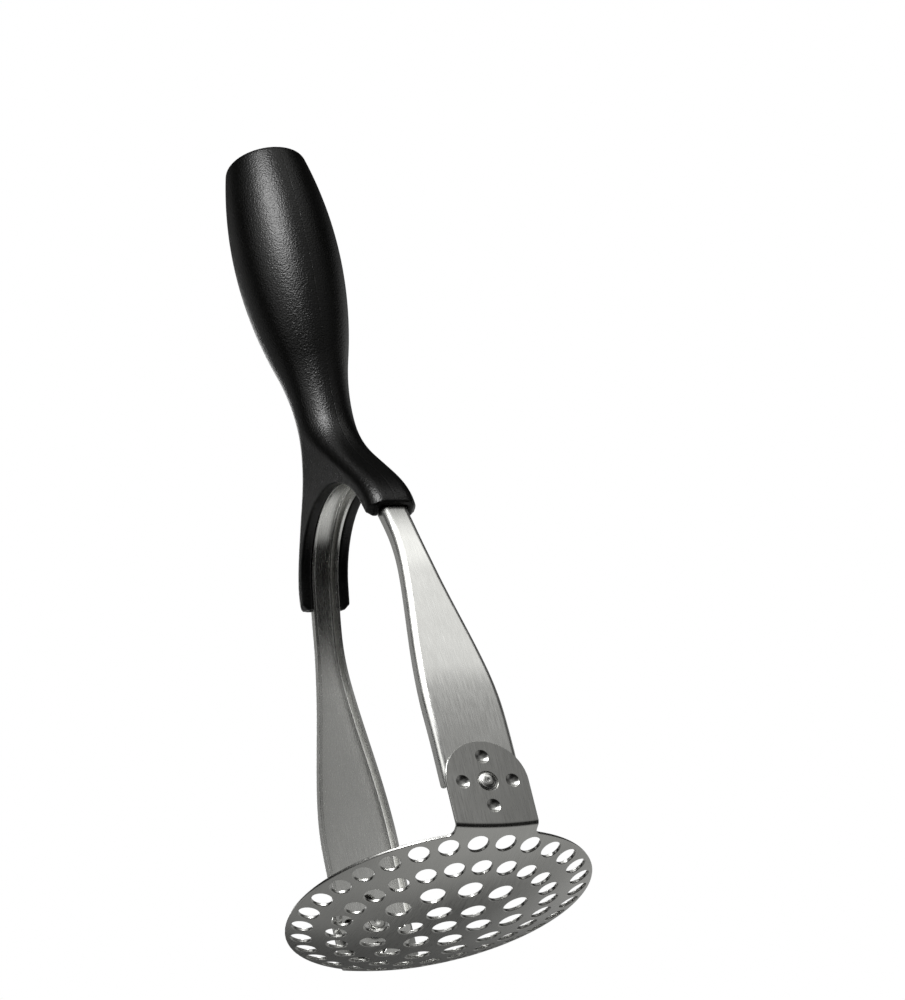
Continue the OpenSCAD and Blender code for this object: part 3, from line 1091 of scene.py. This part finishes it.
# %% The brushed grain group
def brushed_grain():
    group, start, end = new_group(
        "BrushedGrain",
        [("Place", "NodeSocketVector", None), ("Line Width", "NodeSocketFloat", 0.3),
         ("Line Length", "NodeSocketFloat", 8.0), ("Cloud Size", "NodeSocketFloat", 14.0)],
        [("Lines", "NodeSocketFloat"), ("Cloud", "NodeSocketFloat")],
    )
    split = add(group, "ShaderNodeSeparateXYZ", inputs={0: start.outputs["Place"]})
    sums = []
    for share, weight in ((1.0, 0.6), (0.35, 0.4)):
        width = maths(group, "MULTIPLY", start.outputs["Line Width"], share * 0.1)
        length = maths(group, "MULTIPLY", start.outputs["Line Length"], share * 0.1)
        across = maths(group, "DIVIDE", split.outputs[0], width)
        along = maths(group, "DIVIDE", split.outputs[1], length)
        place = add(group, "ShaderNodeCombineXYZ", inputs={0: across, 1: along})
        noise = add(
            group, "ShaderNodeTexNoise", props={"noise_dimensions": "2D"},
            inputs={"Vector": place.outputs[0], "Scale": 1.0, "Detail": 2.0, "Roughness": 0.6},
        )
        sums.append(maths(group, "MULTIPLY", noise.outputs[0], weight))
    lines = maths(group, "ADD", sums[0], sums[1])
    cloud_scale = maths(group, "DIVIDE", 10.0, start.outputs["Cloud Size"])
    cloud = add(
        group, "ShaderNodeTexNoise", props={"noise_dimensions": "2D"},
        inputs={"Vector": start.outputs["Place"], "Scale": cloud_scale, "Detail": 3.0},
    )
    group.links.new(lines, end.inputs["Lines"])
    group.links.new(cloud.outputs[0], end.inputs["Cloud"])
    return group


BRUSHED = brushed_grain()
print("group:", BRUSHED.name, [s.name for s in BRUSHED.interface.items_tree])

# %% [markdown]
# Every finish of this masher scales its colour by a pattern and bends its normals by a height
# map. These helpers do both, and the shader itself stays in the material.

# %% Materials, tints and bumps
def new_material(name):
    """A new material, its node tree and its main shader."""
    material = bpy.data.materials.new(name)
    material.use_nodes = True
    tree = material.node_tree
    return material, tree, tree.nodes["Principled BSDF"]


def tinted(tree, colour, shade):
    return add(
        tree, "ShaderNodeVectorMath", props={"operation": "SCALE"},
        inputs={0: colour, "Scale": shade},
    ).outputs[0]


def raised(tree, height, strength, distance):
    """Normals bent by a height map. The distance is in millimetres."""
    return add(
        tree, "ShaderNodeBump",
        inputs={"Strength": strength, "Distance": distance * MM, "Height": height},
    ).outputs[0]


# %% [markdown]
# ## Brushed stainless steel
# The belt's lines spread a reflection across themselves and leave it sharp along themselves, so
# the shader is anisotropic, with its tangent taken across the lines from the grain map. The
# lines also change the tone and the roughness a little, and stand up in a very low bump.

# %% Brushed steels for the head and the strap
def brushed_steel(name, colour, roughness, line_width, line_length, contrast):
    material, tree, shader = new_material(name)
    place = add(tree, "ShaderNodeUVMap", props={"uv_map": "Sheet"})
    grain = add(
        tree, "ShaderNodeGroup", props={"node_tree": BRUSHED},
        inputs={"Place": place.outputs[0], "Line Width": line_width, "Line Length": line_length},
    )
    lines = grain.outputs["Lines"]
    tone = spread_noise(tree, lines, 1 - contrast, 1 + contrast)
    cloud = spread_noise(tree, grain.outputs["Cloud"], 0.97, 1.03)
    tangent = add(
        tree, "ShaderNodeTangent", props={"direction_type": "UV_MAP", "uv_map": "Sheet"}
    )
    set_inputs(tree, shader, {
        "Metallic": 1.0,
        "Anisotropic": 0.65,
        "Base Color": tinted(tree, colour, maths(tree, "MULTIPLY", tone, cloud)),
        "Roughness": spread_noise(tree, lines, roughness - 0.05, roughness + 0.05),
        "Normal": raised(tree, lines, 0.35, 0.012),
        "Tangent": tangent.outputs[0],
    })
    return material


# Painted shade: the head's steel is given a darker colour than the strap's steel, so that the head
# and its ears reflect darker.
head.data.materials.append(brushed_steel(
    "head_steel_painted_darker", (0.44, 0.44, 0.425),
    roughness=0.30, line_width=0.42, line_length=9.0, contrast=0.10,
))
strap.data.materials.append(brushed_steel(
    "brushed_strap_steel", (0.70, 0.70, 0.68),
    roughness=0.27, line_width=0.34, line_length=7.0, contrast=0.07,
))

# %% [markdown]
# ## Turned and plain steel
# A rivet's head carries the tool marks of the lathe, rings about its axis. The parts inside the
# leg and the grip are plain: a springy blued disc, a tumbled washer, and pins cut from bar.

# %% Turned steel with rings about the piece's own axis
def lathe_rings():
    group, start, end = new_group(
        "LatheRings",
        [("Ring Pitch", "NodeSocketFloat", 0.25)],
        [("Rings", "NodeSocketFloat"), ("Chatter", "NodeSocketFloat")],
    )
    place = add(group, "ShaderNodeTexCoord")
    split = add(group, "ShaderNodeSeparateXYZ", inputs={0: place.outputs["Object"]})
    flat = add(group, "ShaderNodeCombineXYZ", inputs={0: split.outputs[0], 1: split.outputs[1]})
    radius = add(
        group, "ShaderNodeVectorMath", props={"operation": "LENGTH"}, inputs={0: flat.outputs[0]}
    ).outputs["Value"]
    turns = maths(group, "DIVIDE", maths(group, "MULTIPLY", radius, 1000 * 2 * math.pi),
                  start.outputs["Ring Pitch"])
    wave = maths(group, "SINE", turns)
    noise = add(
        group, "ShaderNodeTexNoise", inputs={"Vector": place.outputs["Object"], "Scale": 900.0}
    )
    group.links.new(remap(group, wave, -1, 1, 0, 1), end.inputs["Rings"])
    group.links.new(noise.outputs[0], end.inputs["Chatter"])
    return group


LATHE = lathe_rings()


def turned_steel(name, colour, roughness, pitch):
    material, tree, shader = new_material(name)
    grain = add(
        tree, "ShaderNodeGroup", props={"node_tree": LATHE}, inputs={"Ring Pitch": pitch}
    )
    rings = grain.outputs["Rings"]
    shade = spread_noise(tree, grain.outputs["Chatter"], 0.9, 1.08)
    tangent = add(tree, "ShaderNodeTangent", props={"direction_type": "RADIAL", "axis": "Z"})
    set_inputs(tree, shader, {
        "Metallic": 1.0,
        "Anisotropic": 0.7,
        "Base Color": tinted(tree, colour, shade),
        "Roughness": remap(tree, rings, 0, 1, roughness - 0.06, roughness + 0.06),
        "Normal": raised(tree, rings, 0.6, 0.01),
        "Tangent": tangent.outputs[0],
    })
    return material


rivet_steel = turned_steel("turned_rivet_steel", (0.62, 0.62, 0.60), roughness=0.28, pitch=0.42)
for rivet in rivets:
    rivet.data.materials.append(rivet_steel)


# %% Plain steels for the hidden hardware
def tumbled_steel(name, colour, roughness, grain_mm):
    material, tree, shader = new_material(name)
    place = add(tree, "ShaderNodeTexCoord")
    noise = add(
        tree, "ShaderNodeTexNoise",
        inputs={"Vector": place.outputs["Object"], "Scale": 1000 / grain_mm, "Detail": 4.0},
    ).outputs[0]
    set_inputs(tree, shader, {
        "Metallic": 1.0,
        "Base Color": tinted(tree, colour, spread_noise(tree, noise, 0.85, 1.1)),
        "Roughness": spread_noise(tree, noise, roughness - 0.08, roughness + 0.08),
        "Normal": raised(tree, noise, 0.4, 0.02),
    })
    return material


washer_steel = tumbled_steel(
    "tumbled_washer_steel", (0.55, 0.55, 0.54), roughness=0.38, grain_mm=0.8
)
spring_steel = tumbled_steel(
    "blued_spring_steel", (0.24, 0.26, 0.30), roughness=0.35, grain_mm=1.2
)
tang_steel = tumbled_steel(
    "sheared_tang_steel", (0.42, 0.42, 0.41), roughness=0.45, grain_mm=1.6
)
PLAIN = {
    "front_washer": washer_steel, "rear_washer": washer_steel,
    "front_disc_spring": spring_steel, "rear_disc_spring": spring_steel,
    "tang": tang_steel, "lower_tang_pin": tang_steel, "upper_tang_pin": tang_steel,
}
for node_name, steel in PLAIN.items():
    for material_slot in frame["nodes"][node_name].material_slots:
        material_slot.material = steel
print("plain parts:", len(PLAIN))

# %% [markdown]
# ## Black moulded plastic
# The mould for the grip is spark eroded, which leaves a fine, pebbly grain on the plastic. It
# breaks a reflection into specks and makes a broad, soft sheen. The pebbles are a bump made of
# a noise and of cells, and their tops are a little smoother than the hollows between them. The
# roughness also drifts a little from place to place, as it does on a handled grip.

# %% The mould grain group
def mould_grain():
    group, start, end = new_group(
        "MouldGrain",
        [("Pebble Size", "NodeSocketFloat", 0.35)],
        [("Pebbles", "NodeSocketFloat"), ("Patches", "NodeSocketFloat")],
    )
    place = add(group, "ShaderNodeTexCoord")
    scale = maths(group, "DIVIDE", 1000.0, start.outputs["Pebble Size"])
    coarse = add(
        group, "ShaderNodeTexNoise",
        inputs={"Vector": place.outputs["Object"], "Scale": scale, "Detail": 2.0},
    )
    cells = add(
        group, "ShaderNodeTexVoronoi", props={"feature": "SMOOTH_F1"},
        inputs={"Vector": place.outputs["Object"], "Scale": scale},
    )
    pebbles = maths(group, "SUBTRACT", coarse.outputs[0],
                    maths(group, "MULTIPLY", cells.outputs["Distance"], 0.4))
    patches = add(
        group, "ShaderNodeTexNoise",
        inputs={"Vector": place.outputs["Object"], "Scale": 60.0, "Detail": 3.0},
    )
    group.links.new(pebbles, end.inputs["Pebbles"])
    group.links.new(patches.outputs[0], end.inputs["Patches"])
    return group


MOULD = mould_grain()


# %% The plastic of the grip
def grip_plastic():
    material, tree, shader = new_material("black_grip_plastic")
    grain = add(tree, "ShaderNodeGroup", props={"node_tree": MOULD}, inputs={"Pebble Size": 0.48})
    pebbles = grain.outputs["Pebbles"]
    # Painted shade and highlight: the colour is darker in the hollows of the pebbles and lighter on
    # their tops.
    shade = remap(tree, pebbles, 0.1, 0.6, 0.7, 1.3)
    rough = maths(
        tree, "ADD", remap(tree, pebbles, 0.1, 0.6, 0.38, 0.26),
        spread_noise(tree, grain.outputs["Patches"], -0.02, 0.02),
    )
    set_inputs(tree, shader, {
        "IOR": 1.45,
        "Specular IOR Level": 0.36,
        "Base Color": tinted(tree, (0.0007, 0.0007, 0.0006), shade),
        "Roughness": rough,
        "Normal": raised(tree, pebbles, 1.0, 0.11),
    })
    return material


plastic = grip_plastic()
for shell in (left_shell, right_shell):
    shell.data.materials.append(plastic)
print("materials:", sorted(m.name for m in bpy.data.materials if m.users))

# %% [markdown]
# ## Camera
# The masher is seen from below and in front, hanging in the air, so that the domed underside and
# the front leg both show. The camera stands lower than the head and looks up, rolled a little,
# through a long lens.

# %% Place the camera
CAMERA_AT = (-522.2, -1037.2, -477.0)
CAMERA_BEARING = 28.25
CAMERA_RISE = 27.59
CAMERA_ROLL = -14.05
LENS = 161.6


def look_matrix(at, bearing, rise, roll):
    """A camera that looks along a bearing from +Y towards +X, raised and rolled, in degrees."""
    b, e, r = (math.radians(a) for a in (bearing, rise, roll))
    forward = Vector((math.cos(e) * math.sin(b), math.cos(e) * math.cos(b), math.sin(e)))
    level = forward.cross(Vector((0, 0, 1))).normalized()
    upright = level.cross(forward)
    across = level * math.cos(r) + upright * math.sin(r)
    up = across.cross(forward)
    turn = Matrix((across, up, -forward)).transposed().to_4x4()
    return Matrix.Translation(Vector(at) * MM) @ turn


camera = bpy.data.objects.new("camera", bpy.data.cameras.new("camera"))
camera.data.lens = LENS
camera.data.sensor_width = 36.0
camera.data.clip_start = 0.05
camera.matrix_world = look_matrix(CAMERA_AT, CAMERA_BEARING, CAMERA_RISE, CAMERA_ROLL)
bpy.context.scene.collection.objects.link(camera)
bpy.context.scene.camera = camera
print("camera to pivot:", round((camera.location - Vector((0, 0, pivot_z * MM))).length, 3), "m")

# %% [markdown]
# ## Stage and light
# A pale floor lies well below the masher, and glows a little so that it stays pale where the
# lamps don't reach. The world is a plain studio: white to the camera, and in reflections a dark
# room with pale patches of wall, ceiling and floor, which the brushed steel mirrors as soft
# bands. A soft box in front and a narrow strip give the plastic and the folds their highlights,
# and a weaker box behind lights the masher's other side.

# %% Floor
FLOOR_Z = -600.0
floor_size = 9000.0


def flat_plate(name, middle, width, depth):
    bm = bmesh.new()
    x, y, z = middle
    verts = [
        bm.verts.new(Vector((x + i * width / 2, y + j * depth / 2, z)) * MM)
        for i, j in ((-1, -1), (1, -1), (1, 1), (-1, 1))
    ]
    bm.faces.new(verts)
    plate = mesh_piece(name, bm)
    return plate


def stage_finish(name, colour, roughness, glow):
    material, tree, shader = new_material(name)
    set_inputs(tree, shader, {
        "Base Color": (*colour, 1),
        "Roughness": roughness,
        "Emission Color": (*colour, 1),
        "Emission Strength": glow,
    })
    return material


floor = flat_plate("floor", (0, 0, FLOOR_Z), floor_size, floor_size)
floor.data.materials.append(stage_finish("pale_floor", (0.80, 0.80, 0.79), roughness=0.6, glow=0.6))
floor.visible_glossy = False


# %% World
# Each patch of the room: the way to it, the cosines at which it is full and gone, and how much
# it adds to the radiance of the bare room
ROOM = 0.008
PATCHES = (
    ("front wall", (0.42, -0.83, 0.36), 0.970, 0.87, 0.33),
    ("ceiling", (0.415, -0.50, 0.76), 0.993, 0.965, 1.25),
    ("ceiling left", (-0.10, -0.45, 0.89), 0.97, 0.84, 0.50),
    ("left window", (-0.80, -0.36, 0.46), 0.975, 0.93, 1.50),
    ("far left", (-0.42, 0.79, 0.45), 0.985, 0.94, 0.28),
    ("floor", (0.35, 0.20, -0.92), 0.97, 0.78, 0.60),
    ("back right", (0.90, 0.42, -0.10), 0.94, 0.74, 0.55),
    ("back", (0.30, 0.95, 0.10), 0.96, 0.70, 0.10),
    ("back low", (-0.02, 0.78, -0.62), 0.985, 0.92, 0.34),
    ("left low", (-0.68, 0.64, -0.36), 0.96, 0.80, 0.45),
    ("front", (-0.12, -0.99, -0.02), 0.985, 0.93, 0.14),
    ("right", (0.96, -0.22, -0.20), 0.97, 0.88, 0.30),
)


def add_patch(tree, direction, total, patch):
    name, way, full, gone, radiance = patch
    facing = add(
        tree, "ShaderNodeVectorMath", props={"operation": "DOT_PRODUCT", "label": name},
        inputs={0: direction, 1: Vector(way).normalized()},
    ).outputs["Value"]
    lit = add(
        tree, "ShaderNodeMapRange", props={"interpolation_type": "SMOOTHSTEP"},
        inputs={0: facing, 1: gone, 2: full, 3: 0.0, 4: radiance},
    ).outputs[0]
    return maths(tree, "ADD", total, lit)


def studio_world():
    world = bpy.data.worlds.new("studio")
    world.use_nodes = True
    tree = world.node_tree
    tree.nodes.clear()
    direction = add(tree, "ShaderNodeTexCoord").outputs["Generated"]
    level = add(tree, "ShaderNodeValue").outputs[0]
    level.default_value = ROOM
    for patch in PATCHES:
        level = add_patch(tree, direction, level, patch)
    room = add(tree, "ShaderNodeBackground", inputs={0: (1, 1, 0.985, 1), 1: level})
    white = add(tree, "ShaderNodeBackground", inputs={0: (1, 1, 1, 1), 1: 1.0})
    path = add(tree, "ShaderNodeLightPath")
    seen = maths(
        tree, "MAXIMUM", path.outputs["Is Camera Ray"], path.outputs["Is Transmission Ray"]
    )
    both = add(
        tree, "ShaderNodeMixShader", inputs={0: seen, 1: room.outputs[0], 2: white.outputs[0]}
    )
    out = add(tree, "ShaderNodeOutputWorld")
    tree.links.new(both.outputs[0], out.inputs[0])
    return world


bpy.context.scene.world = studio_world()


# %% Lamps
LAMPS_AIM = Vector((0, 0, 110)) * MM


def softbox(name, direction, distance, width, height, radiance):
    """A soft box that faces the masher. Its sizes are in metres, and its power is worked out
    from its radiance, so it looks equally bright at any size."""
    way = Vector(direction).normalized()
    lamp = bpy.data.lights.new(name, "AREA")
    lamp.shape = "RECTANGLE"
    lamp.size, lamp.size_y = width, height
    lamp.energy = radiance * math.pi * width * height
    box = bpy.data.objects.new(name, lamp)
    box.location = LAMPS_AIM + way * distance
    box.rotation_euler = way.to_track_quat("Z", "Y").to_euler()
    box.visible_camera = False
    bpy.context.scene.collection.objects.link(box)
    return box


softbox("key_box", (-0.37, -0.62, 0.69), distance=1.0, width=0.44, height=0.36, radiance=25.0)
softbox("rim_strip", (-0.80, 0.58, 0.20), distance=1.0, width=0.10, height=0.7, radiance=0.5)
softbox("back_box", (0.14, 0.92, 0.36), distance=1.2, width=0.50, height=0.50, radiance=2.2)

# %% [markdown]
# ## Finish
# The view keeps Blender's plain transform.

# %% View settings
bpy.context.scene.view_settings.view_transform = "Standard"
